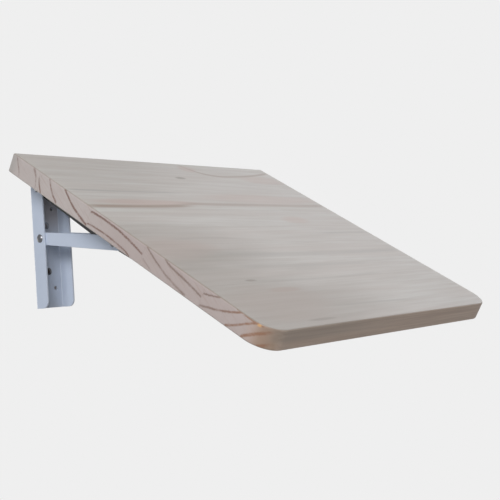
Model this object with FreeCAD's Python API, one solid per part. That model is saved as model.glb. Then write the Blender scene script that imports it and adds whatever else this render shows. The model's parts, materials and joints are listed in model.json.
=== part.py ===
import FreeCAD, Part
import math
import os

Vector = FreeCAD.Vector

# Wall mounted drop leaf table: one solid pine leaf on two folding steel brackets.
# X runs along the wall, the wall is the plane Y = 0 and the table stands out towards -Y, Z is up.
# The origin lies on the wall, midway between the four middle wall screws.
# The leaf is modelled part-way down, leaf_drop below level, and the brackets stand to match.
# Every bracket has, from outside to inside: a wall channel, two side links and an arm.

# Leaf
leaf_width = 400.0
leaf_depth = 360.0
leaf_thickness = 20.0
leaf_front_corner = 24.0
leaf_back_corner = 2.0
leaf_arris = 1.6
leaf_drop = 30.5            # degrees below level, as modelled
leaf_back_reach = 8.0       # from the hinge axis back to the leaf's rear edge
leaf_seat_height = 13.9     # from the hinge axis up to the leaf's underside

# Bracket places
bracket_inset = 54.0        # from the leaf's end to the bracket's middle
hinge_height = 62.2         # hinge axis above the origin
pivot_from_wall = 11.8      # hinge axis and link axis, out from the wall
link_pivot_height = 10.0    # link axis above the origin

# Wall channel
channel_width = 36.0
channel_depth = 19.0
channel_sheet = 1.8
channel_bend = 1.0
channel_foot = 62.0         # channel's lower end below the origin
channel_foot_corner = 8.0
channel_top_margin = 7.4    # steel left around the hinge hole

# Wall screw holes
middle_hole_spacing = 48.0
middle_hole = 5.0
middle_hole_sink = 8.0      # countersink's outer diameter
middle_hole_sink_depth = 1.1
outer_hole_spacing = 83.0
outer_hole_pitch = 16.0     # across the channel
outer_hole = 4.0

# Arm under the leaf
arm_length = 246.0          # from the hinge axis to the arm's tip
arm_sheet = 1.8
arm_bend = 1.0
arm_root_margin = 5.9       # steel left around the hinge hole
arm_slot_margin = 3.9       # from the slot's lowest side down to the flange's deepest place
arm_tip_depth = 13.0
arm_tip_corner = 7.0
arm_belly_beyond = 9.0      # from the slot's level end out to the flange's deepest place
arm_belly_corner = 40.0

# Side links
link_width = 12.8           # at the link axis
link_end_width = 14.8       # at the slide pin
link_thickness = 2.0
link_length = 105.3         # link axis to slide pin
pin_level_depth = 6.2       # slide pin below the leaf's underside when the leaf is level
pin_flat_depth = 6.2        # slide pin below the leaf's underside when the leaf is flat on the wall
link_tail = 14.0            # beyond the slide pin, along the lower edge
link_leaf_clearance = 0.8   # under the leaf when it is level, and when it is flat
link_tail_corner = 1.5
link_heel_corner = 4.0      # blunt corner at the top of the outer end
link_edge_round = 0.5

# Pins and rivets
hinge_pin = 6.0
link_rivet = 5.0
slide_pin = 5.0
catch_pin = 4.0
rivet_head = 9.0
rivet_head_height = 2.0
slide_head = 8.5
slide_head_height = 1.5
sink_depth = 1.1            # depth of a flush rivet end

# Friction washers at the hinge
washer_diameter = 14.0

# Wood screws through the arm into the leaf
arm_screw = 4.0
arm_screw_head = 8.0
arm_screw_head_height = 2.3
arm_screw_grip = 13.0       # length held in the leaf
arm_screw_point = 3.0       # length of the tapered point
arm_screw_tip = 0.6         # diameter of its blunt end
arm_screw_root = 20.0       # from the hinge axis to the first screw
arm_screw_root_pitch = 23.0
arm_screw_tip_margin = 16.0 # from the last screw to the arm's tip
arm_screw_tip_pitch = 44.0
recess_width = 1.0
recess_length = 4.4
recess_depth = 1.3

# Catch that holds the slide pin when the leaf is level
catch_reach = 26.0          # from the catch's pin to the slide pin, along the arm
catch_pin_depth = 11.0      # catch's pin below the leaf's underside
catch_plate = 3.0
catch_swing = 15.0          # degrees between off and locked
catch_hub = 4.2             # hub's outer radius
catch_tooth = 3.0
catch_tooth_corner = 0.6
catch_tooth_slope = 1.0     # fall of the tooth's top, and its spread below
catch_neck = 3.4
catch_shoulder_corner = 1.0
catch_throat_corner = 2.0
catch_heel_corner = 1.5
catch_belly_corner = 8.0
catch_pad_start = 4.0       # from the catch's pin outwards
catch_pad_drop = 3.4        # pad's upper face below the catch's pin when locked
catch_pad_length = 11.0
catch_pad_width = 15.0
catch_pad_sheet = 1.5
catch_pad_corner = 0.5

# Catch's return spring, a bent strip between its pad and the arm's web
spring_sheet = 0.5
spring_width = 5.0
spring_bend = 1.0
spring_rise = 50.0          # degrees, free leg above the pad
spring_inset = 0.5          # from the pad's ends

# Fits
nest_gap = 0.3              # between plates that fold inside each other
running_fit = 0.05          # radial, pin in hole
fixed_fit = 0.03            # radial, riveted or screwed
slot_fit = 0.25             # radial, slide pin in its slot
sink_fit = 0.1
washer_gap = 0.1
catch_fit = 0.3

bracket_spacing = leaf_width - 2 * bracket_inset

# Nested half widths of a bracket, from its middle plane
channel_outside = channel_width / 2
channel_inside = channel_outside - channel_sheet
link_outside = channel_inside - nest_gap
link_inside = link_outside - link_thickness
arm_outside = link_inside - nest_gap
arm_inside = arm_outside - arm_sheet

hinge_axis = Vector(0, -pivot_from_wall, hinge_height)
link_axis = Vector(0, -pivot_from_wall, link_pivot_height)
along_wall = Vector(1, 0, 0)
into_wall = Vector(0, 1, 0)
level_underside = hinge_height + leaf_seat_height

# Link angles below level, in degrees; the link turns by a constant share of the leaf's turn
leaf_flat_fold = 90.0       # degrees from level to flat on the wall
level_rise = level_underside - pin_level_depth - link_pivot_height
link_level_drop = -math.degrees(math.asin(level_rise / link_length))
link_flat_drop = math.degrees(math.acos((leaf_seat_height - pin_flat_depth) / link_length))
link_turn_ratio = (link_flat_drop - link_level_drop) / leaf_flat_fold
link_drop = link_level_drop + link_turn_ratio * leaf_drop

slot_steps = 12             # spans of the slot's curve
heading_step = 0.01         # degrees of fold over which the slot's heading is taken
same_place = 1e-6
cut_past = 1.0              # how far a cut runs past the piece
slot_radius = slide_pin / 2 + slot_fit


def unit(vector):
    """The vector with a length of one."""
    return vector.multiply(1 / vector.Length)


def rounded_face(corners):
    """A flat face from its corners, each a point and a radius, with the sides tangent to the arcs."""
    count = len(corners)
    edges = []
    ends = []
    for index, (point, radius) in enumerate(corners):
        if radius <= 0:
            ends.append((point, point))
            continue
        side_before = point - corners[index - 1][0]
        side_after = corners[(index + 1) % count][0] - point
        half_side = min(side_before.Length, side_after.Length) / 2
        before = unit(side_before)
        after = unit(side_after)
        half_turn = before.getAngle(after) / 2
        radius = min(radius, half_side / math.tan(half_turn))
        setback = radius * math.tan(half_turn)
        start = point - before * setback
        end = point + after * setback
        inward = unit(after - before)
        middle = point + inward * (radius / math.cos(half_turn) - radius)
        ends.append((start, end))
        edges.append((index, Part.Arc(start, middle, end).toShape()))
    arcs = dict(edges)
    outline = []
    for index in range(count):
        if index in arcs:
            outline.append(arcs[index])
        side_start = ends[index][1]
        side_end = ends[(index + 1) % count][0]
        if (side_end - side_start).Length > same_place:
            outline.append(Part.LineSegment(side_start, side_end).toShape())
    return Part.Face(Part.Wire(outline))


def level_point(along, depth, x=0.0):
    """A point of the level leaf: along from the hinge axis outwards, depth below the underside."""
    return Vector(x, -pivot_from_wall - along, level_underside - depth)


def level_plate(corners, x_from, x_to):
    """A plate square to X, from corners (along, depth, radius) of the level leaf."""
    face = rounded_face([(level_point(along, depth, x_from), radius) for along, depth, radius in corners])
    return face.extrude(along_wall * (x_to - x_from))


def lower_leaf(shape):
    """Turn a piece of the level leaf about the hinge axis to where it is modelled."""
    lowered = shape.copy()
    lowered.rotate(hinge_axis, along_wall, leaf_drop)
    return lowered


def cross_bar(centre, radius, x_from, x_to):
    """A round bar along X."""
    return Part.makeCylinder(radius, x_to - x_from, Vector(x_from, centre.y, centre.z), along_wall)


def cross_cone(centre, radius_from, radius_to, x_from, x_to):
    """A cone along X, for countersinks."""
    base = Vector(x_from, centre.y, centre.z)
    direction = along_wall if x_to > x_from else along_wall * -1
    return Part.makeCone(radius_from, radius_to, abs(x_to - x_from), base, direction)


def dome(centre, radius, height, x_flat, outward):
    """A domed rivet head along X, with its flat side at x_flat."""
    ball_radius = (radius ** 2 + height ** 2) / (2 * height)
    half_angle = math.asin(radius / ball_radius) / 2
    ball_centre = x_flat + outward * (height - ball_radius)
    rim = Vector(x_flat, radius, 0)
    crown = Vector(x_flat + outward * height, 0, 0)
    shoulder = Vector(ball_centre + outward * ball_radius * math.cos(half_angle),
                      ball_radius * math.sin(half_angle), 0)
    flat_middle = Vector(x_flat, 0, 0)
    outline = Part.Wire([Part.Arc(rim, shoulder, crown).toShape(),
                         Part.LineSegment(crown, flat_middle).toShape(),
                         Part.LineSegment(flat_middle, rim).toShape()])
    head = Part.Face(outline).revolve(Vector(0, 0, 0), along_wall, 360)
    head.translate(Vector(0, centre.y, centre.z))
    return head


def place_bracket(shape, side):
    """Move a piece from the bracket's own middle plane to the left (-1) or right (+1) bracket."""
    placed = shape.copy()
    placed.translate(along_wall * (side * bracket_spacing / 2))
    return placed


# The slide pin's path in the arm

def slide_pin_place(fold):
    """Along and depth of the slide pin on the level leaf, when the leaf hangs fold degrees down."""
    link_angle = math.radians(link_drop + link_turn_ratio * (fold - leaf_drop))
    fold_angle = math.radians(fold)
    out = link_length * math.cos(link_angle)
    up = link_pivot_height - link_length * math.sin(link_angle) - hinge_height
    along = out * math.cos(fold_angle) - up * math.sin(fold_angle)
    height = out * math.sin(fold_angle) + up * math.cos(fold_angle)
    return along, leaf_seat_height - height


def slot_side(offset):
    """Points beside the slide pin's path, offset square to it."""
    points = []
    for step in range(slot_steps + 1):
        fold = leaf_flat_fold * step / slot_steps
        along, depth = slide_pin_place(fold)
        next_along, next_depth = slide_pin_place(fold + heading_step)
        run = next_along - along
        fall = next_depth - depth
        length = math.hypot(run, fall)
        points.append((along + offset * fall / length, depth - offset * run / length))
    return points


def curve_through(points, x):
    """A smooth edge through (along, depth) points in the plane at x."""
    spline = Part.BSplineCurve()
    spline.interpolate([level_point(along, depth, x) for along, depth in points])
    return spline.toShape()


def slot_end_arc(side_a, side_b, fold, beyond, x):
    """The half-round end of the slot, from one side to the other past the pin's last place."""
    along, depth = slide_pin_place(fold)
    next_along, next_depth = slide_pin_place(fold + beyond * heading_step)
    length = math.hypot(next_along - along, next_depth - depth)
    tip_along = along + slot_radius * (next_along - along) / length
    tip_depth = depth + slot_radius * (next_depth - depth) / length
    return Part.Arc(level_point(*side_a, x), level_point(tip_along, tip_depth, x),
                    level_point(*side_b, x)).toShape()


def make_slot_cutter():
    """The curved slot through both flanges of the level arm."""
    x_from = -arm_outside - cut_past
    upper = slot_side(slot_radius)
    lower = slot_side(-slot_radius)
    wire = Part.Wire([curve_through(upper, x_from),
                      slot_end_arc(upper[-1], lower[-1], leaf_flat_fold, 1, x_from),
                      curve_through(lower[::-1], x_from),
                      slot_end_arc(lower[0], upper[0], 0.0, -1, x_from)])
    return Part.Face(wire).extrude(along_wall * (-2 * x_from))


pin_level_along = slide_pin_place(0.0)[0]
slot_low_depth = max(slide_pin_place(leaf_flat_fold * step / slot_steps)[1] for step in range(slot_steps + 1))
arm_root_depth = leaf_seat_height + arm_root_margin
arm_belly_along = pin_level_along + arm_belly_beyond
arm_belly_depth = slot_low_depth + slot_radius + arm_slot_margin
catch_along = pin_level_along - catch_reach
catch_pad_top = catch_pin_depth + catch_pad_drop


# Leaf

def arm_screw_points():
    """Middles of the wood screws under the arm's web, on the level leaf."""
    last = arm_length - arm_screw_tip_margin
    places = (arm_screw_root, arm_screw_root + arm_screw_root_pitch, last - arm_screw_tip_pitch, last)
    return [level_point(along, arm_sheet) for along in places]


def screw_shank(middle, extra):
    """The part of a wood screw above its head, grown by extra for a hole."""
    radius = arm_screw / 2 + extra
    straight = arm_sheet + arm_screw_grip - arm_screw_point
    shank = Part.makeCylinder(radius, straight + extra, middle)
    point_base = middle + Vector(0, 0, straight + extra)
    return shank.fuse(Part.makeCone(radius, arm_screw_tip / 2 + extra, arm_screw_point, point_base))


def make_table_top():
    """The pine leaf with rounded front corners, eased edges and pilot holes, still level."""
    rear = leaf_back_reach
    front = leaf_depth - leaf_back_reach
    half = leaf_width / 2
    corners = [(level_point(-rear, 0, -half), leaf_back_corner),
               (level_point(-rear, 0, half), leaf_back_corner),
               (level_point(front, 0, half), leaf_front_corner),
               (level_point(front, 0, -half), leaf_front_corner)]
    board = rounded_face(corners).extrude(Vector(0, 0, leaf_thickness))
    rims = [edge for edge in board.Edges if edge.BoundBox.ZLength < same_place]
    board = board.makeFillet(leaf_arris, rims)
    for side in (-1, 1):
        for middle in arm_screw_points():
            board = board.cut(place_bracket(screw_shank(middle, fixed_fit), side))
    return board


# Wall channel

def make_wall_channel():
    """Pressed steel channel, open to the front, with rivet, hinge and wall screw holes."""
    half = channel_outside
    inner = channel_inside
    outer_bend = channel_bend + channel_sheet
    top = hinge_height + channel_top_margin
    profile = [(Vector(-half, -channel_depth, -channel_foot), 0),
               (Vector(-half, 0, -channel_foot), outer_bend),
               (Vector(half, 0, -channel_foot), outer_bend),
               (Vector(half, -channel_depth, -channel_foot), 0),
               (Vector(inner, -channel_depth, -channel_foot), 0),
               (Vector(inner, -channel_sheet, -channel_foot), channel_bend),
               (Vector(-inner, -channel_sheet, -channel_foot), channel_bend),
               (Vector(-inner, -channel_depth, -channel_foot), 0)]
    channel = rounded_face(profile).extrude(Vector(0, 0, channel_foot + top))
    top_corner = min(channel_top_margin, channel_depth - channel_sheet)
    side_view = rounded_face([(Vector(-half, 0, -channel_foot), 0),
                              (Vector(-half, 0, top), 0),
                              (Vector(-half, -channel_depth, top), top_corner),
                              (Vector(-half, -channel_depth, -channel_foot), channel_foot_corner)])
    channel = channel.common(side_view.extrude(along_wall * channel_width))
    reach = half + cut_past
    hinge_bore = cross_bar(hinge_axis, hinge_pin / 2 + fixed_fit, -reach, reach)
    link_bore = cross_bar(link_axis, link_rivet / 2 + fixed_fit, -reach, reach)
    channel = channel.cut(hinge_bore).cut(link_bore)
    for up in (-1, 1):
        middle_z = up * middle_hole_spacing / 2
        channel = channel.cut(web_bore(0, middle_z, middle_hole / 2))
        channel = channel.cut(Part.makeCone(middle_hole_sink / 2, middle_hole / 2, middle_hole_sink_depth,
                                            Vector(0, -channel_sheet, middle_z), into_wall))
        for across in (-1, 1):
            channel = channel.cut(web_bore(across * outer_hole_pitch / 2, up * outer_hole_spacing / 2,
                                           outer_hole / 2))
    return channel


def web_bore(x, z, radius):
    """A cutter for a round hole through the channel's web."""
    return Part.makeCylinder(radius, channel_sheet + 2 * cut_past, Vector(x, -channel_sheet - cut_past, z),
                             into_wall)


# Arm

def make_arm():
    """Pressed steel arm under the leaf, flanges down, with its curved slots, still level."""
    half = arm_outside
    inner = arm_inside
    outer_bend = arm_bend + arm_sheet
    start = -arm_root_margin
    deepest = max(arm_root_depth, arm_belly_depth) + cut_past
    profile = [(level_point(start, deepest, -half), 0),
               (level_point(start, 0, -half), outer_bend),
               (level_point(start, 0, half), outer_bend),
               (level_point(start, deepest, half), 0),
               (level_point(start, deepest, inner), 0),
               (level_point(start, arm_sheet, inner), arm_bend),
               (level_point(start, arm_sheet, -inner), arm_bend),
               (level_point(start, deepest, -inner), 0)]
    channel = rounded_face(profile).extrude(Vector(0, start - arm_length, 0))
    side_view = [(start, 0, 0),
                 (start, arm_root_depth, arm_root_margin),
                 (arm_belly_along, arm_belly_depth, arm_belly_corner),
                 (arm_length, arm_tip_depth, arm_tip_corner),
                 (arm_length, 0, 0)]
    arm = channel.common(level_plate(side_view, -half, half))
    arm = arm.cut(make_slot_cutter())
    arm = arm.cut(cross_bar(hinge_axis, hinge_pin / 2 + running_fit, -half - cut_past, half + cut_past))
    arm = arm.cut(flush_rivet(level_point(catch_along, catch_pin_depth), catch_pin / 2, half, fixed_fit))
    for middle in arm_screw_points():
        arm = arm.cut(screw_shank(middle - Vector(0, 0, cut_past), fixed_fit))
    return arm


# Links

def cut_corners(corners, line_point, line_angle, radius):
    """Drop what lies above a line that falls by line_angle, with new corners of the given radius."""
    def height(corner):
        along = corner[0] - line_point[0]
        up = corner[1] - line_point[1]
        return up * math.cos(line_angle) + along * math.sin(line_angle)

    kept = []
    for index, corner in enumerate(corners):
        last = corners[index - 1]
        if height(last) * height(corner) < 0:
            share = height(last) / (height(last) - height(corner))
            crossing_along = last[0] + share * (corner[0] - last[0])
            crossing_up = last[1] + share * (corner[1] - last[1])
            kept.append((crossing_along, crossing_up, radius))
        if height(corner) <= 0:
            kept.append(corner)
    return kept


def leaf_over_link(bar, pin_depth, slope):
    """The bar cut back from the leaf's underside, which falls by slope and passes pin_depth above the pin."""
    room = pin_depth - link_leaf_clearance
    nearest = (link_length + room * math.sin(slope), room * math.cos(slope))
    return cut_corners(bar, nearest, slope, link_heel_corner)


def make_link(side):
    """One side link, a bar that widens outwards, round at the wall and cut to clear the level leaf."""
    half = link_width / 2
    widening = (link_end_width - link_width) / 2 / link_length
    x_from = min(side * link_outside, side * link_inside)
    end = link_length + link_tail
    end_half = half + widening * end
    back_half = half - widening * half
    bar = [(-half, back_half, back_half),
           (-half, -back_half, back_half),
           (end, -end_half, link_tail_corner),
           (end, end_half, link_tail_corner)]
    bar = leaf_over_link(bar, pin_level_depth, math.radians(-link_level_drop))
    bar = leaf_over_link(bar, pin_flat_depth, math.radians(leaf_flat_fold - link_flat_drop))
    outline = [(Vector(x_from, -pivot_from_wall - along, link_pivot_height + up), radius)
               for along, up, radius in bar]
    link = rounded_face(outline).extrude(along_wall * link_thickness)
    outer_x = side * link_outside
    rims = [edge for edge in link.Edges
            if max(abs(edge.BoundBox.XMin - outer_x), abs(edge.BoundBox.XMax - outer_x)) < same_place]
    link = link.makeFillet(link_edge_round, rims)
    pin_middle = link_axis + Vector(0, -link_length, 0)
    link = link.cut(cross_bar(pin_middle, slide_pin / 2 + fixed_fit, -channel_outside, channel_outside))
    link = link.cut(make_link_rivet(side, running_fit, sink_fit))
    link.rotate(link_axis, along_wall, link_drop)
    return link


def make_link_rivet(side, grow=0.0, sink_grow=0.0):
    """Rivet between wall channel and link, domed outside and flush inside."""
    radius = link_rivet / 2
    outer = side * channel_outside
    inner = side * link_inside
    x_from = min(outer, inner)
    x_to = max(outer, inner)
    shank = cross_bar(link_axis, radius + grow, x_from, x_to)
    sink = cross_cone(link_axis, radius + sink_depth + sink_grow, radius + sink_grow,
                      inner, inner + side * sink_depth)
    rivet = shank.fuse(sink)
    if grow == 0.0:
        rivet = rivet.fuse(dome(link_axis, rivet_head / 2, rivet_head_height, outer, side))
    return rivet.removeSplitter()


def make_slide_pin():
    """Pin through both links and both slots, with domed ends."""
    middle = link_axis + Vector(0, -link_length, 0)
    pin = cross_bar(middle, slide_pin / 2, -link_outside, link_outside)
    for side in (-1, 1):
        pin = pin.fuse(dome(middle, slide_head / 2, slide_head_height, side * link_outside, side))
    pin.rotate(link_axis, along_wall, link_drop)
    return pin


# Hinge

def make_hinge_pin():
    """Pin through the wall channel and the arm, riveted over outside the channel."""
    pin = cross_bar(hinge_axis, hinge_pin / 2, -channel_outside, channel_outside)
    for side in (-1, 1):
        pin = pin.fuse(dome(hinge_axis, rivet_head / 2, rivet_head_height, side * channel_outside, side))
    return pin


def make_hinge_washers():
    """Two friction washers between the wall channel and the arm."""
    washers = []
    for side in (-1, 1):
        x_from = min(side * (arm_outside + washer_gap), side * (channel_inside - washer_gap / 2))
        x_to = max(side * (arm_outside + washer_gap), side * (channel_inside - washer_gap / 2))
        ring = cross_bar(hinge_axis, washer_diameter / 2, x_from, x_to)
        washers.append(ring.cut(cross_bar(hinge_axis, hinge_pin / 2 + fixed_fit, x_from, x_to)))
    return Part.makeCompound(washers)


# Wood screws

def make_arm_screw(middle):
    """Pan head wood screw with a cross recess, its head below the arm's web."""
    radius = arm_screw_head / 2
    ball_radius = (radius ** 2 + arm_screw_head_height ** 2) / (2 * arm_screw_head_height)
    ball = Part.makeSphere(ball_radius, middle + Vector(0, 0, ball_radius - arm_screw_head_height))
    slab = Part.makeCylinder(radius, arm_screw_head_height, middle - Vector(0, 0, arm_screw_head_height))
    head = ball.common(slab)
    screw = head.fuse(screw_shank(middle, 0.0))
    recess_floor = middle - Vector(0, 0, arm_screw_head_height)
    for length, width in ((recess_length, recess_width), (recess_width, recess_length)):
        corner = recess_floor - Vector(length / 2, width / 2, 0)
        screw = screw.cut(Part.makeBox(length, width, recess_depth, corner))
    return screw


def make_arm_screws(side):
    """All wood screws of one arm, where they stand in the lowered leaf."""
    screws = [lower_leaf(place_bracket(make_arm_screw(middle), side)) for middle in arm_screw_points()]
    return Part.makeCompound(screws)


# Catch

def flush_rivet(middle, radius, reach, grow=0.0):
    """Rivet along X whose two countersunk ends lie flush at plus and minus reach."""
    rivet = cross_bar(middle, radius + grow, -reach, reach)
    for side in (-1, 1):
        rivet = rivet.fuse(cross_cone(middle, radius + sink_depth + grow, radius + grow,
                                      side * reach, side * (reach - sink_depth)))
    return rivet.removeSplitter()


def catch_off_plate(locked, x_from, x_to):
    """A plate square to X, from corners where the catch is locked, swung off about the catch's pin."""
    plate = level_plate(locked, x_from, x_to)
    plate.rotate(level_point(catch_along, catch_pin_depth), along_wall, catch_swing)
    return plate


def make_catch():
    """Hooked catch inside the arm: plate, hub and finger pad in one piece, swung off the pin."""
    pin_reach = slide_pin / 2 + catch_fit
    throat = pin_level_depth + pin_reach
    tooth_face = pin_level_along + pin_reach
    tooth_top = pin_level_depth - slide_pin / 4
    tooth_back = tooth_face + catch_tooth
    belly = catch_pad_top + catch_pad_sheet
    locked = [(catch_along - catch_hub, catch_pin_depth - catch_hub, catch_hub),
              (catch_along + catch_hub, catch_pin_depth - catch_hub, catch_shoulder_corner),
              (catch_along + 2 * catch_hub, throat, catch_throat_corner),
              (tooth_face, throat, catch_tooth_corner),
              (tooth_face, tooth_top, catch_tooth_corner),
              (tooth_back, tooth_top + catch_tooth_slope, catch_shoulder_corner),
              (tooth_back + catch_tooth_slope, throat + catch_neck, catch_heel_corner),
              (catch_along + catch_reach / 2, belly, catch_belly_corner),
              (catch_along - catch_hub, belly, catch_hub)]
    catch = catch_off_plate(locked, -catch_plate / 2, catch_plate / 2)
    middle = level_point(catch_along, catch_pin_depth)
    hub_end = arm_inside - catch_fit
    catch = catch.fuse(cross_bar(middle, catch_hub, -hub_end, catch_plate / 2))
    pad_start = catch_along + catch_pad_start
    pad = [(pad_start, catch_pad_top, catch_pad_corner),
           (pad_start + catch_pad_length, catch_pad_top, catch_pad_corner),
           (pad_start + catch_pad_length, belly, catch_pad_corner),
           (pad_start, belly, catch_pad_corner)]
    catch = catch.fuse(catch_off_plate(pad, -catch_pad_width / 2, catch_pad_width / 2))
    catch = catch.cut(cross_bar(middle, catch_pin / 2 + running_fit, -arm_outside, arm_outside))
    return catch.removeSplitter()


def make_catch_spring():
    """Bent spring strip beside the catch's plate: one leg on the pad, one up to the arm's web."""
    rise = math.radians(spring_rise)
    start = catch_along + catch_pad_start + spring_inset
    fold = start + catch_pad_length - 2 * spring_inset
    top = catch_pad_top - spring_sheet
    leg_height = catch_pad_top - arm_sheet - catch_fit
    leg_end = fold - leg_height / math.tan(rise)
    strip = [(start, catch_pad_top, 0),
             (fold, catch_pad_top, spring_bend + spring_sheet),
             (leg_end, catch_pad_top - leg_height, 0),
             (leg_end - spring_sheet * math.sin(rise),
              catch_pad_top - leg_height + spring_sheet * math.cos(rise), 0),
             (fold - spring_sheet / math.tan(rise / 2), top, spring_bend),
             (start, top, 0)]
    x_from = catch_plate / 2 + catch_fit
    return catch_off_plate(strip, x_from, x_from + spring_width)


def save(shape, name):
    """Write one named piece."""
    shape.exportStep("parts/" + name + ".step")


def main():
    os.makedirs("parts", exist_ok=True)
    save(lower_leaf(make_table_top()), "table_top")
    for side, hand in ((-1, "left"), (1, "right")):
        pieces = {
            "wall_channel": make_wall_channel(),
            "hinge_pin": make_hinge_pin(),
            "hinge_washers": make_hinge_washers(),
            "link_rivets": Part.makeCompound([make_link_rivet(-1), make_link_rivet(1)]),
            "outer_link": make_link(side),
            "inner_link": make_link(-side),
            "slide_pin": make_slide_pin(),
            "arm": lower_leaf(make_arm()),
            "catch": lower_leaf(make_catch()),
            "catch_rivet": lower_leaf(flush_rivet(level_point(catch_along, catch_pin_depth),
                                                  catch_pin / 2, arm_outside)),
            "catch_spring": lower_leaf(make_catch_spring()),
        }
        for name, shape in pieces.items():
            save(place_bracket(shape, side), hand + "_" + name)
        save(make_arm_screws(side), hand + "_arm_screws")


main()
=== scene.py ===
import json
import math

import bmesh
import bpy
from mathutils import Matrix, Vector


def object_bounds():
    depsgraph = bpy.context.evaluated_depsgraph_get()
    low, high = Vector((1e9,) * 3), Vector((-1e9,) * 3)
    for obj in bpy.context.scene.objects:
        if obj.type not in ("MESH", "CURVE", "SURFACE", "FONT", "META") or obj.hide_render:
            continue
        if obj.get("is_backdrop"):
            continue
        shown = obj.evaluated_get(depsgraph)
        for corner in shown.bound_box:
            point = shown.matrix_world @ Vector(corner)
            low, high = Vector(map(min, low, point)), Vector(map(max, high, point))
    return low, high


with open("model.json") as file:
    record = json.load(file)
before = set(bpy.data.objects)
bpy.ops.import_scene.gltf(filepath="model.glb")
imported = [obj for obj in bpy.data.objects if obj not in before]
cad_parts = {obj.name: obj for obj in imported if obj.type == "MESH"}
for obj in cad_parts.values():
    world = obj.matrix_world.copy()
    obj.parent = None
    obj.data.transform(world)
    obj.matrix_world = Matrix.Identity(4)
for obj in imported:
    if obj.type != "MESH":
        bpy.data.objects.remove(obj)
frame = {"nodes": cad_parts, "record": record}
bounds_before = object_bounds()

# The scene is in metres. The table's own sizes below are in millimetres, and MM brings them over.
MM = 0.001

# At rest the leaf hangs below level from its hinge line, which stands off the wall. Its rear edge
# reaches back behind that line, and its underside lies seated above it.
leaf_drop = math.radians(30.5)
hinge_from_wall = 11.8
hinge_height = 62.2
leaf_back_reach = 8.0
leaf_seat_height = 13.9
leaf_thickness = 20.0
leaf_depth = 360.0
leaf_width = 400.0

# The panel is glued up from boards of one width. The first board is cut narrower.
board_width = 77.5
first_joint = 49.5
glue_ends_before_front = 5.0

# Noise in the wood: cycles per mm along the grain and across it, a scale for both, detail, roughness.
wood_noises = {
    "wander": (0.006, 0.03, 1.0, 2.0, 0.5),
    "streak": (0.007, 0.14, 1.0, 4.0, 0.6),
    "band": (0.004, 0.035, 1.0, 2.0, 0.5),
    "fibre": (0.012, 1.0, 0.9, 4.0, 0.65),
    "fine": (0.006, 0.4, 1.0, 3.0, 0.6),
    "pores": (0.05, 1.0, 2.4, 2.0, 0.6),
}

# How far noise moves the marks sideways (patches by their half widths), over what length a line starts
# and ends, and how steeply the faint early rings lie.
grain_line_wander = 5.0
grain_line_fade = 20.0
ring_line_wander = 1.5
ring_line_raggedness = 2.4
ring_line_fade = 0.4
patch_wander = 1.5
early_ring_slope = 0.45

# Zones of the sawn ends: place across where it begins and where it is full, strength, colour.
sawn_zones = (
    (110.0, 180.0, 0.5, "sawn_middle"),
    # The front zone is painted shade, darker towards the rounded front corner.
    (325.0, 352.0, 0.6, "sawn_front"),
    (14.0, 3.0, 0.6, "sawn_rear"),
)

# Latewood lines on the sawn ends: points (across, depth), half width, strength.
ring_lines = (
    (((8, 2), (11, 6), (15, 11), (18, 17)), 2.4, 0.55),
    (((35, 0), (42, 7), (44, 12), (45.5, 18)), 3.1, 0.60),
    (((46.5, 5), (49, 11), (52, 15), (55, 19)), 2.6, 0.90),
    (((61, 0), (64, 4), (70, 11), (80, 18)), 2.3, 0.75),
    (((85, 0), (93, 5), (101, 9.5), (110, 13), (127, 18)), 2.0, 1.0),
    (((127.5, 4.5), (137, 2.8), (150, 2.6), (165, 3.1), (180, 5), (204, 9.6)), 1.6, 1.0),
    (((127.5, 16), (140, 14.6), (155, 14.2), (170, 15), (190, 19)), 1.4, 0.90),
    (((206, 0), (215, 4.5), (225, 8.5), (240, 13.5), (265, 18)), 1.7, 0.75),
    (((230, 0), (240, 3.2), (252, 5), (265, 7), (281.5, 10.2)), 1.7, 0.80),
    (((206, 12.5), (220, 18)), 1.3, 0.40),
    (((282.5, 6.4), (290, 4), (301, 0)), 1.4, 0.85),
    (((282.5, 17.5), (290, 15), (300, 12), (312, 7.5), (327, 0)), 1.6, 0.95),
    (((314, 19), (325, 13), (335, 6), (345, 0)), 1.9, 0.85),
    (((333, 19), (343, 11.5), (350, 7), (360, 2)), 2.6, 0.95),
    (((320, 0.4), (335, 0.9), (349, 1.6)), 1.1, 0.80),
    (((348, 20), (354, 16.5), (360, 13)), 2.8, 0.95),
)

# Lines along the grain on the top face: points (x, across), half width, strength.
olive_lines = (
    (((-200, 123), (-130, 122), (-60, 119)), 5.5, 0.95),
    (((-60, 113.5), (60, 113), (200, 111.5)), 5.5, 0.60),
    (((38, 3), (48, 19), (66, 30), (120, 30), (200, 13)), 4.0, 0.60),
)
grey_lines = (
    (((-200, 87), (-130, 87), (-45, 86)), 3.0, 0.40),
    (((-150, 194), (-100, 192), (-60, 194)), 3.0, 0.28),
    (((100, 186), (150, 185), (200, 185)), 4.0, 0.28),
    (((-120, 227), (-60, 230), (200, 230)), 7.0, 0.28),
    (((-115, 252), (-20, 255), (90, 257)), 5.0, 0.24),
    (((-140, 278), (-40, 281), (80, 280)), 4.0, 0.20),
    (((-75, 331), (0, 333), (60, 336)), 3.0, 0.25),
)

# Soft patches on the top face: x, across, half length, half width, strength.
warm_patches = (
    (-110, 112, 85, 9, 0.85),
    (95, 97, 130, 15, 0.55),
    (-165, 215, 60, 26, 0.60),
    (-140, 318, 80, 34, 0.45),
    (42, 14, 16, 12, 0.55),
    (160, 38, 48, 12, 0.50),
    (90, 151, 28, 11, 0.55),
    (-104, 297, 26, 6, 0.70),
)
dark_marks_and_shade = (
    # The first two, broad at the left end, are painted shade that darkens the left of the top; the rest are
    # dark marks in the wood.
    (-200, 320, 240, 110, 0.50),
    (-200, 205, 190, 60, 0.34),
    (3, 44, 10, 3.6, 0.70),
    (-133, 277, 9, 2.2, 0.45),
    (-115, 350, 24, 2.5, 0.30),
)

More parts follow.
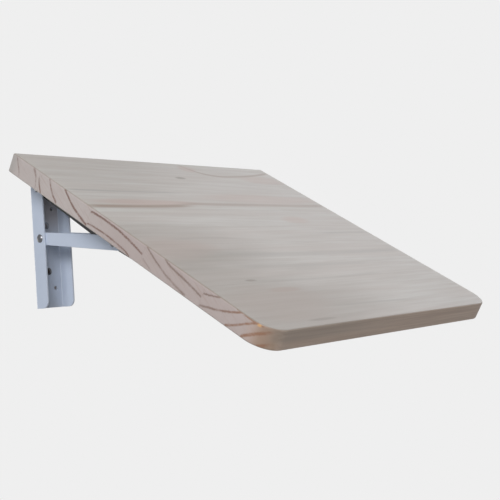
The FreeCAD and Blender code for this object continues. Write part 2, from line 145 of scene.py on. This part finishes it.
# How far each layer covers the wood under it.
cover = {
    "front": 0.9,
    "mark": 0.9,
    "ring": 0.95,
    "corner": 0.75,
    "glue": 0.25,
    "arris": 0.6,
    "edge": 0.15,
}

# An amber spot just under the arris by the front left corner, given like a soft patch.
amber_spot = (-200, 346, 4.0, 2.6, 0.8)

# The brackets' places along the wall. Their screw holes: place across the bracket, height, radius.
# The middle holes are countersunk. Between its flanges a channel's web reaches this far to each side.
bracket_places = (-146.0, 146.0)
middle_hole_height = 24.0
screw_holes = (
    (0.0, middle_hole_height, 2.5), (0.0, -middle_hole_height, 2.5),
    (-8.0, 41.5, 2.0), (8.0, 41.5, 2.0), (-8.0, -41.5, 2.0), (8.0, -41.5, 2.0),
)
countersink_radius = 4.0
countersink_softness = 0.4
channel_inner_half = 16.2
# Painted shade on the webs' front grows from the first height to the second.
web_shade_begins = 5.0
web_shade_full = 40.0

# How far the painted shade on the webs covers the paint: in the countersinks below and above, and up under
# the leaf.
lower_sunk_cover = 0.85
upper_sunk_cover = 0.45
web_shade_cover = 0.75

# The camera stands in front on the left, lower than the leaf's rear edge, and looks slightly up.
camera_place = (-837.7865, -823.7145, -38.3634)
camera_yaw = math.radians(51.4481)
camera_pitch = math.radians(-1.2987)
camera_roll = math.radians(-3.5108)
camera_lens = 72.39
sensor_width = 36.0

# The stage, in metres. Lights and greys are plain levels.
backdrop_grey = 0.8632
world_colour = (0.97, 0.98, 1.0, 1.0)
world_light = 0.11
floor_grey = 0.75
floor_height = -1.4
floor_half = 8.0
floor_shadow_radius = 1.8

# Lamps: place (m), size (m), power (W), colour. All look at the table's middle.
lamp_target = (-0.05, -0.12, 0.0)
lamps = {
    "window": ((-1.95, -0.8, 0.9), 1.0, 26.5, (0.98, 0.98, 1.0)),
    "room": ((-1.8, -1.6, 0.5), 1.2, 19.5, (1.0, 0.96, 0.92)),
    "sheen": ((2.4, 0.55, 1.05), 1.9, 19.0, (0.99, 0.98, 1.0)),
    "behind": ((0.2, 2.0, -0.3), 1.2, 10.0, (1.0, 0.98, 0.96)),
}


def linear(red, green, blue):
    """A colour from its 0 to 255 values."""
    def channel(value):
        value = value / 255.0
        return value / 12.92 if value <= 0.04045 else ((value + 0.055) / 1.055) ** 2.4
    return (channel(red), channel(green), channel(blue), 1.0)


# Colours of the wood and its marks.
wood = {
    "streak_low": linear(191, 185, 179),
    "streak_high": linear(212, 210, 206),
    "band": linear(199, 191, 185),
    "warm_patch": linear(196, 178, 170),
    # Painted shade and warm reflected light: the front edge darker and browner than the top.
    "front_low": linear(168, 146, 130),
    "front_high": linear(196, 176, 160),
    "sawn_low": linear(177, 168, 165),
    "sawn_high": linear(188, 181, 178),
    "sawn_middle": linear(165, 150, 147),
    "sawn_front": linear(171, 146, 130),
    "sawn_rear": linear(160, 159, 156),
    "early_ring": linear(158, 136, 126),
    # Painted shade on the rounded front corners.
    "corner": linear(146, 124, 106),
    "ring_rear": linear(122, 99, 91),
    "ring_middle": linear(130, 114, 107),
    "ring_front": linear(139, 105, 84),
    "olive_line": linear(156, 136, 122),
    "grey_line": linear(152, 147, 143),
    "dark_mark_and_shade": linear(142, 133, 124),
    "fibre": linear(150, 142, 136),
    "glue": linear(124, 108, 96),
    # Painted shade along the sawn ends' rounded arrises.
    "arris": linear(140, 130, 118),
    # A painted highlight: lighter along the leaf's edges.
    "edge": linear(206, 196, 184),
    "amber": linear(210, 166, 112),
}

# Each paint's two clouded tones, specks and worn edges, and the painted shade on the brackets' webs.
paints = {
    "steel_paint": (
        linear(179, 191, 208), linear(189, 199, 216), linear(150, 158, 172), linear(212, 219, 229),
    ),
    # Nearly black, for the arms, whose strip under the leaf shows dark.
    "black_paint": (
        linear(14, 13, 15), linear(24, 23, 26), linear(44, 44, 47), linear(70, 70, 74),
    ),
}
# Painted shade: a warmer, less blue tone up under the leaf on the webs, and a dark tone in the
# countersinks.
web_painted_shade = linear(182, 177, 178)
countersink_painted_shade = linear(58, 56, 60)


class Shader:
    """A material's node tree, with short calls that add and join its nodes."""

    def __init__(self, name):
        self.material = bpy.data.materials.new(name)
        self.material.use_nodes = True
        self.tree = self.material.node_tree
        self.tree.nodes.clear()

    def add(self, kind, **settings):
        node = self.tree.nodes.new(kind)
        for key, value in settings.items():
            setattr(node, key, value)
        return node

    def put(self, socket, value):
        """Joins an output to the socket, or sets the socket's own value."""
        if isinstance(value, bpy.types.NodeSocket):
            self.tree.links.new(value, socket)
        else:
            socket.default_value = value

    def math(self, operation, first, second=0.0, third=0.0):
        node = self.add("ShaderNodeMath", operation=operation)
        for index, value in enumerate((first, second, third)):
            self.put(node.inputs[index], value)
        return node.outputs[0]

    def times(self, first, second):
        return self.math("MULTIPLY", first, second)

    def total(self, values):
        """The sum of any number of values."""
        values = list(values)
        result = values[0]
        for value in values[1:]:
            result = self.math("ADD", result, value)
        return result

    def vector(self, operation, first, second):
        node = self.add("ShaderNodeVectorMath", operation=operation)
        self.put(node.inputs[0], first)
        self.put(node.inputs[1], second)
        return node.outputs["Value"] if operation == "DOT_PRODUCT" else node.outputs["Vector"]

    def split(self, place):
        """The x, y and z of a place."""
        node = self.add("ShaderNodeSeparateXYZ")
        self.put(node.inputs[0], place)
        return node.outputs

    def joined(self, x, y, z):
        """A place from its x, y and z."""
        node = self.add("ShaderNodeCombineXYZ")
        for index, value in enumerate((x, y, z)):
            self.put(node.inputs[index], value)
        return node.outputs[0]

    def noise(self, place, scale, detail=3.0, roughness=0.5):
        node = self.add("ShaderNodeTexNoise")
        self.put(node.inputs["Vector"], place)
        node.inputs["Scale"].default_value = scale
        node.inputs["Detail"].default_value = detail
        node.inputs["Roughness"].default_value = roughness
        return node.outputs["Fac"]

    def between(self, value, low, high, out_low=0.0, out_high=1.0):
        """value from low..high to out_low..out_high, eased and held at the ends."""
        node = self.add("ShaderNodeMapRange", interpolation_type="SMOOTHSTEP")
        for index, number in enumerate((value, low, high, out_low, out_high)):
            self.put(node.inputs[index], number)
        return node.outputs[0]

    def mix(self, factor, first, second):
        """The first colour where factor is 0, the second where it is 1."""
        node = self.add("ShaderNodeMix", data_type="RGBA", blend_type="MIX")
        self.put(node.inputs[0], factor)
        self.put(node.inputs[6], first)
        self.put(node.inputs[7], second)
        return node.outputs[2]

    def curve(self, value, points):
        """A smooth curve through points whose coordinates run from 0 to 1."""
        node = self.add("ShaderNodeFloatCurve")
        self.put(node.inputs["Value"], value)
        line = node.mapping.curves[0]
        line.points[0].location = points[0]
        line.points[1].location = points[-1]
        for point in points[1:-1]:
            line.points.new(*point)
        node.mapping.update()
        return node.outputs[0]

    def bump(self, height, strength, distance, normal=None):
        node = self.add("ShaderNodeBump")
        node.inputs["Strength"].default_value = strength
        node.inputs["Distance"].default_value = distance
        self.put(node.inputs["Height"], height)
        if normal is not None:
            self.put(node.inputs["Normal"], normal)
        return node.outputs[0]

    def place(self):
        """The point on the piece, in metres, which stays with the piece as it moves."""
        return self.add("ShaderNodeTexCoord").outputs["Object"]

    def facing(self):
        """The surface's direction on the piece."""
        return self.add("ShaderNodeTexCoord").outputs["Normal"]

    def edges(self, width):
        """1 along an edge and 0 away from it, with the rounded normal."""
        rounded = self.add("ShaderNodeBevel", samples=4)
        rounded.inputs["Radius"].default_value = width
        plain = self.add("ShaderNodeNewGeometry").outputs["Normal"]
        cosine = self.vector("DOT_PRODUCT", rounded.outputs[0], plain)
        return self.between(cosine, 0.999, 0.90), rounded.outputs[0]

    def finish(self, colour, rough, normal, metallic=0.0, coat=0.0):
        """The material, made from its colour, roughness and normal."""
        shader = self.add("ShaderNodeBsdfPrincipled")
        self.put(shader.inputs["Base Color"], colour)
        self.put(shader.inputs["Roughness"], rough)
        self.put(shader.inputs["Normal"], normal)
        shader.inputs["Metallic"].default_value = metallic
        shader.inputs["Coat Weight"].default_value = coat
        shader.inputs["Coat Roughness"].default_value = 0.25
        output = self.add("ShaderNodeOutputMaterial")
        self.tree.links.new(shader.outputs[0], output.inputs[0])
        return self.material


class Board(Shader):
    """The leaf's wood: x runs along the grain, across from the rear edge, depth below the top face (mm)."""

    def __init__(self, name):
        super().__init__(name)
        self.measure()
        self.find_faces()
        self.wander = self.math("SUBTRACT", self.wood_noise("wander"), 0.5)

    def measure(self):
        """Turns the place on the leaf into x, across and depth."""
        cosine = math.cos(leaf_drop)
        sine = math.sin(leaf_drop)
        self.forward = (0.0, -cosine, -sine)
        place = self.vector("MULTIPLY", self.place(), (1 / MM, 1 / MM, 1 / MM))
        back = hinge_height * sine - hinge_from_wall * cosine + leaf_back_reach
        top = leaf_seat_height + leaf_thickness + hinge_height * cosine + hinge_from_wall * sine
        self.x = self.split(place)[0]
        self.across = self.math("ADD", self.vector("DOT_PRODUCT", place, self.forward), back)
        self.depth = self.math("ADD", self.vector("DOT_PRODUCT", place, (0.0, sine, -cosine)), top)

    def find_faces(self):
        """1 on the sawn ends, the front edge, the rounded front corners and the ends' arrises."""
        facing = self.facing()
        sideways = self.math("ABSOLUTE", self.vector("DOT_PRODUCT", facing, (1.0, 0.0, 0.0)))
        toward = self.vector("DOT_PRODUCT", facing, self.forward)
        self.end = self.between(sideways, 0.45, 0.8)
        self.front = self.between(toward, 0.3, 0.8)
        self.corner = self.times(self.between(sideways, 0.1, 0.5), self.between(toward, 0.1, 0.6))
        turning = self.times(self.between(sideways, 0.1, 0.4), self.between(sideways, 0.97, 0.7))
        self.arris = self.times(turning, self.between(self.math("ABSOLUTE", toward), 0.3, 0.05))

    def wood_noise(self, name):
        """Noise drawn out along the grain, from wood_noises."""
        along, across, scale, detail, roughness = wood_noises[name]
        place = self.joined(self.times(self.x, along), self.times(self.across, across),
                            self.times(self.depth, across))
        return self.noise(place, scale, detail, roughness)

    def line(self, run, run_size, rise, rise_size, points, half_width, strength, fade):
        """A soft line through points given along run and rise."""
        mapped = [(along / run_size, up / rise_size) for along, up in points]
        middle = self.curve(self.math("DIVIDE", run, run_size), mapped)
        away = self.math("ABSOLUTE", self.math("MULTIPLY_ADD", middle, -rise_size, rise))
        soft = self.between(away, half_width, half_width / 6, 0.0, strength)
        started = self.between(run, points[0][0] - fade, points[0][0] + fade)
        ended = self.between(run, points[-1][0] + fade, points[-1][0] - fade)
        return self.times(soft, self.times(started, ended))

    def grain_line(self, points, half_width, strength):
        """A line along the grain."""
        half = leaf_width / 2
        shifted = [(x + half, across) for x, across in points]
        run = self.math("ADD", self.x, half)
        rise = self.math("MULTIPLY_ADD", self.wander, grain_line_wander, self.across)
        return self.line(run, leaf_width, rise, leaf_depth, shifted, half_width, strength, grain_line_fade)

    def ragged_depth(self):
        """Depth with a ragged shift, which roughens the latewood lines."""
        grain = self.noise(self.joined(0.0, self.across, self.depth), 0.8, 2.0, 0.6)
        shift = self.math("SUBTRACT", grain, 0.5)
        return self.math("MULTIPLY_ADD", shift, ring_line_raggedness, self.depth)

    def latewood_lines(self):
        """1 on the latewood lines of a sawn end, which come and go along their length."""
        rise = self.math("MULTIPLY_ADD", self.wander, ring_line_wander, self.ragged_depth())
        lines = []
        for points, half_width, strength in ring_lines:
            lines.append(self.line(self.across, leaf_depth, rise, leaf_thickness,
                                   points, half_width, strength, ring_line_fade))
        on_end = self.times(self.total(lines), self.end)
        place = self.joined(0.0, self.times(self.across, 0.12), self.times(self.depth, 0.3))
        worn = self.noise(place, 1.0, 2.0, 0.6)
        return self.times(on_end, self.between(worn, 0.3, 0.6, 0.6, 1.2))

    def early_rings(self):
        """Faint rings that slope across the sawn ends."""
        sloped = self.math("MULTIPLY_ADD", self.across, -early_ring_slope, self.depth)
        place = self.joined(self.times(sloped, 0.55), self.times(self.across, 0.03), 0.0)
        rings = self.between(self.noise(place, 1.0, 2.0, 0.5), 0.52, 0.75, 0.0, 0.35)
        return self.times(rings, self.end)

    def patch(self, x, across, half_length, half_width, strength):
        """A soft oval patch, drawn out along the grain."""
        along = self.math("DIVIDE", self.math("SUBTRACT", self.x, x), half_length)
        aside = self.math("DIVIDE", self.math("SUBTRACT", self.across, across), half_width)
        aside = self.math("MULTIPLY_ADD", self.wander, patch_wander, aside)
        square = self.math("ADD", self.times(along, along), self.times(aside, aside))
        return self.between(square, 1.2, 0.1, 0.0, strength)

    def joint(self):
        """1 on the glue lines between boards, none of which lies at the front edge."""
        shifted = self.math("ADD", self.across, board_width / 2 - first_joint)
        place = self.math("DIVIDE", shifted, board_width)
        away = self.math("ABSOLUTE", self.math("SUBTRACT", self.math("FRACT", place), 0.5))
        last = leaf_depth - glue_ends_before_front
        inside = self.between(self.across, last, last - 5.0)
        return self.times(inside, self.between(away, 0.004, 0.001))


def broad_faces(s, streak, top_face):
    """Colour of the broad faces, and of the front edge, which painted shade and warm reflected light make
    darker and browner.
    """
    warm = s.times(s.total(s.patch(*mark) for mark in warm_patches), top_face)
    band = s.between(s.wood_noise("band"), 0.35, 0.65, 0.0, 0.5)
    fine = s.between(s.wood_noise("fine"), 0.3, 0.7)
    body = s.mix(s.between(streak, 0.2, 0.8), wood["streak_low"], wood["streak_high"])
    body = s.mix(band, body, wood["band"])
    body = s.mix(s.math("MINIMUM", warm, cover["mark"]), body, wood["warm_patch"])
    front = s.mix(fine, wood["front_low"], wood["front_high"])
    return s.mix(s.times(s.front, cover["front"]), body, front)


def sawn_ends(s, streak):
    """Colour of the sawn ends, without their latewood lines."""
    sawn = s.mix(streak, wood["sawn_low"], wood["sawn_high"])
    for nothing_at, full_at, strength, name in sawn_zones:
        sawn = s.mix(s.between(s.across, nothing_at, full_at, 0.0, strength), sawn, wood[name])
    return s.mix(s.early_rings(), sawn, wood["early_ring"])


def latewood_colour(s):
    """Colour of the latewood lines, which changes from the rear to the front."""
    rear = s.mix(s.between(s.across, 195.0, 215.0), wood["ring_rear"], wood["ring_middle"])
    return s.mix(s.between(s.across, 285.0, 345.0), rear, wood["ring_front"])


def top_face_marks(s, colour, streak, top_face):
    """The colour with the board's grain lines and dark marks, and the painted shade at the left of the top.
    """
    olive = s.times(s.total(s.grain_line(*mark) for mark in olive_lines), top_face)
    grey = s.times(s.total(s.grain_line(*mark) for mark in grey_lines), top_face)
    grey = s.times(grey, s.between(streak, 0.3, 0.6, 0.4, 1.2))
    dark = s.times(s.total(s.patch(*mark) for mark in dark_marks_and_shade), top_face)
    for mark, name in ((olive, "olive_line"), (grey, "grey_line"), (dark, "dark_mark_and_shade")):
        colour = s.mix(s.math("MINIMUM", mark, cover["mark"]), colour, wood[name])
    return colour


def pine():
    """Glued pine boards under a thin lacquer: grain along the leaf, rings on the sawn ends."""
    s = Board("pine")
    # The marks lie on the leaf's upper half and keep off the sawn ends.
    top_face = s.times(s.math("SUBTRACT", 1.0, s.end), s.between(s.depth, 15.0, 9.0))
    streak = s.wood_noise("streak")
    fibre = s.wood_noise("fibre")
    rings = s.latewood_lines()
    edge, rounded = s.edges(0.8 * MM)

    colour = s.mix(s.end, broad_faces(s, streak, top_face), sawn_ends(s, streak))
    # Painted shade on the rounded front corners.
    colour = s.mix(s.times(s.corner, cover["corner"]), colour, wood["corner"])
    colour = s.mix(s.math("MINIMUM", rings, cover["ring"]), colour, latewood_colour(s))
    colour = top_face_marks(s, colour, streak, top_face)
    colour = s.mix(s.between(fibre, 0.52, 0.85, 0.0, 0.25), colour, wood["fibre"])
    # glue: dark joints; arris: painted shade along the sawn ends' rounded arrises; edge: a painted
    # highlight along the edges.
    for name, mask in (("glue", s.joint()), ("arris", s.arris), ("edge", edge)):
        colour = s.mix(s.times(mask, cover[name]), colour, wood[name])
    under_arris = s.times(s.between(s.depth, 3.5, 2.2), s.between(s.depth, 0.3, 1.1))
    colour = s.mix(s.times(s.patch(*amber_spot), under_arris), colour, wood["amber"])

    rough = s.math("MULTIPLY_ADD", fibre, 0.2, 0.49)
    rough = s.math("MULTIPLY_ADD", s.end, 0.12, rough)
    pores = s.times(s.wood_noise("pores"), 0.5)
    height = s.math("MULTIPLY_ADD", rings, -0.4, s.math("ADD", fibre, pores))
    normal = s.bump(height, 0.25, 0.1 * MM, rounded)
    return s.finish(colour, rough, normal, coat=0.08)


def countersink_shade_mask(s, aside, height):
    """How far painted shade covers the paint in the countersinks of the middle screw holes: more below than
    above.
    """
    middle = middle_hole_height * MM
    above = s.math("SUBTRACT", s.math("ABSOLUTE", height), middle)
    radius = s.math("SQRT", s.math("ADD", s.times(aside, aside), s.times(above, above)))
    sunk = s.between(radius, countersink_radius * MM, (countersink_radius - countersink_softness) * MM)
    return s.times(sunk, s.between(height, -middle, middle, lower_sunk_cover, upper_sunk_cover))


def web_shade_mask(s, aside, forward, height):
    """1 up under the leaf on the webs' front, which lies one sheet of 1.8 mm off the wall: where painted
    shade makes the paint warmer and less blue.
    """
    inside = s.between(s.math("ABSOLUTE", aside), channel_inner_half * MM, (channel_inner_half - 1.0) * MM)
    off_wall = s.between(forward, -1.0 * MM, -1.5 * MM)
    near_wall = s.between(forward, -4.0 * MM, -2.0 * MM)
    high = s.between(height, web_shade_begins * MM, web_shade_full * MM)
    return s.times(s.times(inside, s.times(off_wall, near_wall)), high)


def channel_tones(s, colour):
    """The colour with painted shade on the brackets' webs: warmer and less blue up under the leaf, dark in
    the countersinks.
    """
    x, forward, height = s.split(s.place())
    aside = s.math("SUBTRACT", s.math("ABSOLUTE", x), bracket_places[1] * MM)
    web_shade = s.times(web_shade_mask(s, aside, forward, height), web_shade_cover)
    colour = s.mix(web_shade, colour, web_painted_shade)
    return s.mix(countersink_shade_mask(s, aside, height), colour, countersink_painted_shade)


def enamel(name):
    """Baked paint on folded sheet: orange peel, specks and bright worn edges."""
    low, high, speck_colour, edge_colour = paints[name]
    s = Shader(name)
    place = s.place()
    peel = s.noise(place, 900.0, 2.0, 0.5)
    cloud = s.noise(place, 40.0, 3.0, 0.6)
    speck = s.noise(place, 2600.0, 1.0, 0.5)
    wear = s.noise(place, 150.0, 4.0, 0.7)
    edge, rounded = s.edges(0.6 * MM)
    colour = s.mix(cloud, low, high)
    colour = s.mix(s.between(speck, 0.66, 0.78, 0.0, 0.25), colour, speck_colour)
    colour = s.mix(s.times(edge, s.between(wear, 0.35, 0.65, 0.2, 0.8)), colour, edge_colour)
    # On the steel paint: painted shade on the channels' webs and in their countersinks.
    if name == "steel_paint":
        colour = channel_tones(s, colour)
    rough = s.math("MULTIPLY_ADD", cloud, 0.18, 0.34)
    return s.finish(colour, rough, s.bump(peel, 0.12, 0.1 * MM, rounded), coat=0.1)


def zinc():
    """Zinc-plated steel: greyish, clouded by the plating, brighter on its edges."""
    s = Shader("zinc")
    place = s.place()
    cloud = s.noise(place, 350.0, 4.0, 0.6)
    turning = s.noise(s.vector("MULTIPLY", place, (6000.0, 900.0, 900.0)), 1.0, 2.0, 0.6)
    edge, rounded = s.edges(0.3 * MM)
    colour = s.mix(cloud, linear(84, 84, 86), linear(116, 117, 121))
    colour = s.mix(s.times(edge, 0.4), colour, linear(190, 192, 196))
    rough = s.math("MULTIPLY_ADD", cloud, 0.2, 0.16)
    return s.finish(colour, rough, s.bump(turning, 0.08, 0.1 * MM, rounded), metallic=1.0)


def nylon():
    """Off-white moulded nylon with a soft sheen."""
    s = Shader("nylon")
    place = s.place()
    cloud = s.noise(place, 250.0, 3.0, 0.6)
    grain = s.noise(place, 3000.0, 2.0, 0.5)
    edge, rounded = s.edges(0.3 * MM)
    colour = s.mix(cloud, linear(205, 204, 198), linear(222, 221, 215))
    colour = s.mix(s.times(edge, 0.4), colour, linear(234, 233, 229))
    rough = s.math("MULTIPLY_ADD", grain, 0.2, 0.38)
    return s.finish(colour, rough, s.bump(grain, 0.1, 0.1 * MM, rounded))


def dress():
    """Gives every CAD node the finish of its material slot."""
    finishes = {"pine": pine(), "zinc": zinc(), "nylon": nylon()}
    for name in paints:
        finishes[name] = enamel(name)
    slots = {}
    for entry in frame["record"]["subparts"]:
        slots[entry["node"]] = entry["material_slot"]
    for name, node in frame["nodes"].items():
        node.data.materials.clear()
        node.data.materials.append(finishes[slots[name]])


def show(name, data):
    """An object for the data, linked into the scene."""
    shown = bpy.data.objects.new(name, data)
    bpy.context.scene.collection.objects.link(shown)
    return shown


def place_camera():
    """The camera at the photograph's angle."""
    ahead = Vector((
        math.sin(camera_yaw) * math.cos(camera_pitch),
        math.cos(camera_yaw) * math.cos(camera_pitch),
        -math.sin(camera_pitch),
    ))
    level = Vector((math.cos(camera_yaw), -math.sin(camera_yaw), 0.0))
    upward = level.cross(ahead)
    right = math.cos(camera_roll) * level + math.sin(camera_roll) * upward
    up = -math.sin(camera_roll) * level + math.cos(camera_roll) * upward
    turn = Matrix((right, up, -ahead)).transposed().to_4x4()
    data = bpy.data.cameras.new("camera")
    data.lens = camera_lens
    data.sensor_width = sensor_width
    data.clip_start = 0.01
    data.clip_end = 100.0
    camera = show("camera", data)
    camera.matrix_world = Matrix.Translation(Vector(camera_place) * MM) @ turn
    bpy.context.scene.camera = camera


def seen(tree):
    """1 for rays that look at the backdrop: from the camera, by reflection or through glass."""
    path = tree.nodes.new("ShaderNodeLightPath")
    total = path.outputs["Is Camera Ray"]
    for name in ("Is Glossy Ray", "Is Transmission Ray"):
        adder = tree.nodes.new("ShaderNodeMath")
        adder.operation = "MAXIMUM"
        tree.links.new(total, adder.inputs[0])
        tree.links.new(path.outputs[name], adder.inputs[1])
        total = adder.outputs[0]
    return total


def make_world():
    """A pale grey backdrop that lights the object softly."""
    world = bpy.data.worlds.new("studio")
    bpy.context.scene.world = world
    world.use_nodes = True
    tree = world.node_tree
    tree.nodes.clear()
    shown = tree.nodes.new("ShaderNodeBackground")
    shown.inputs[0].default_value = (backdrop_grey, backdrop_grey, backdrop_grey, 1.0)
    lighting = tree.nodes.new("ShaderNodeBackground")
    lighting.inputs[0].default_value = world_colour
    lighting.inputs[1].default_value = world_light
    choice = tree.nodes.new("ShaderNodeMixShader")
    output = tree.nodes.new("ShaderNodeOutputWorld")
    tree.links.new(seen(tree), choice.inputs[0])
    tree.links.new(lighting.outputs[0], choice.inputs[1])
    tree.links.new(shown.outputs[0], choice.inputs[2])
    tree.links.new(choice.outputs[0], output.inputs[0])


def floor_material():
    """Pale and shadowed under the table, and fading into the backdrop further out."""
    s = Shader("floor")
    shadow = s.add("ShaderNodeBsdfDiffuse")
    shadow.inputs[0].default_value = (floor_grey, floor_grey, floor_grey, 1.0)
    glow = s.add("ShaderNodeEmission")
    glow.inputs[0].default_value = (backdrop_grey, backdrop_grey, backdrop_grey, 1.0)
    distance = s.add("ShaderNodeVectorMath", operation="LENGTH")
    s.put(distance.inputs[0], s.place())
    faded = s.between(distance.outputs["Value"], floor_shadow_radius / 3, floor_shadow_radius, 0.6, 1.0)
    choice = s.add("ShaderNodeMixShader")
    s.put(choice.inputs[0], s.times(seen(s.tree), faded))
    s.put(choice.inputs[1], shadow.outputs[0])
    s.put(choice.inputs[2], glow.outputs[0])
    output = s.add("ShaderNodeOutputMaterial")
    s.put(output.inputs[0], choice.outputs[0])
    return s.material


def make_floor():
    """A wide floor well below the leaf."""
    half = floor_half
    corners = [(-half, -half, 0.0), (half, -half, 0.0), (half, half, 0.0), (-half, half, 0.0)]
    mesh = bpy.data.meshes.new("floor")
    mesh.from_pydata(corners, [], [(0, 1, 2, 3)])
    mesh.materials.append(floor_material())
    floor = show("floor", mesh)
    floor.location = (0.0, 0.0, floor_height)
    floor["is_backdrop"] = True


def hole_shade_material():
    """A rough dark wall tone as painted shade in the screw holes: darkest behind the lower middle holes,
    paler behind the others.
    """
    s = Shader("hole_shade_spots")
    place = s.place()
    grain = s.noise(place, 400.0, 3.0, 0.6)
    height = s.split(place)[2]
    outer = s.between(s.math("ABSOLUTE", height), 30.0 * MM, 36.0 * MM)
    upper = s.between(height, -10.0 * MM, 10.0 * MM)
    colour = s.mix(grain, linear(52, 44, 42), linear(82, 72, 68))
    colour = s.mix(s.times(s.math("MAXIMUM", outer, upper), 0.8), colour, linear(150, 144, 146))
    return s.finish(colour, 0.9, s.bump(grain, 0.3, 0.2 * MM))


def make_hole_shade_spots():
    """Dark discs at the wall behind the brackets' screw holes, part of the backdrop, which paint the shade
    seen in the holes.
    """
    cells = bmesh.new()
    for bracket in bracket_places:
        for across, height, radius in screw_holes:
            middle = Vector((bracket + across, 0.0, height)) * MM
            turn = Matrix.Translation(middle) @ Matrix.Rotation(math.radians(90.0), 4, "X")
            bmesh.ops.create_circle(cells, cap_ends=True, segments=32, radius=radius * MM, matrix=turn)
    mesh = bpy.data.meshes.new("hole_shade_spots")
    cells.to_mesh(mesh)
    cells.free()
    mesh.materials.append(hole_shade_material())
    spots = show("hole_shade_spots", mesh)
    spots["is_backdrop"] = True


def add_lamp(name, place, size, power, colour):
    """A round lamp that looks at the table's middle."""
    data = bpy.data.lights.new(name, "AREA")
    data.shape = "DISK"
    data.size = size
    data.energy = power
    data.color = colour
    lamp = show(name, data)
    lamp.location = place
    aim = Vector(lamp_target) - Vector(place)
    lamp.rotation_euler = aim.to_track_quat("-Z", "Y").to_euler()


dress()
place_camera()
make_world()
make_floor()
make_hole_shade_spots()
for lamp_name, settings in lamps.items():
    add_lamp(lamp_name, *settings)
bpy.context.scene.view_settings.view_transform = "Standard"


def plain(bounds):
    return [list(corner) for corner in bounds]


{"before": plain(bounds_before), "after": plain(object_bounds())}
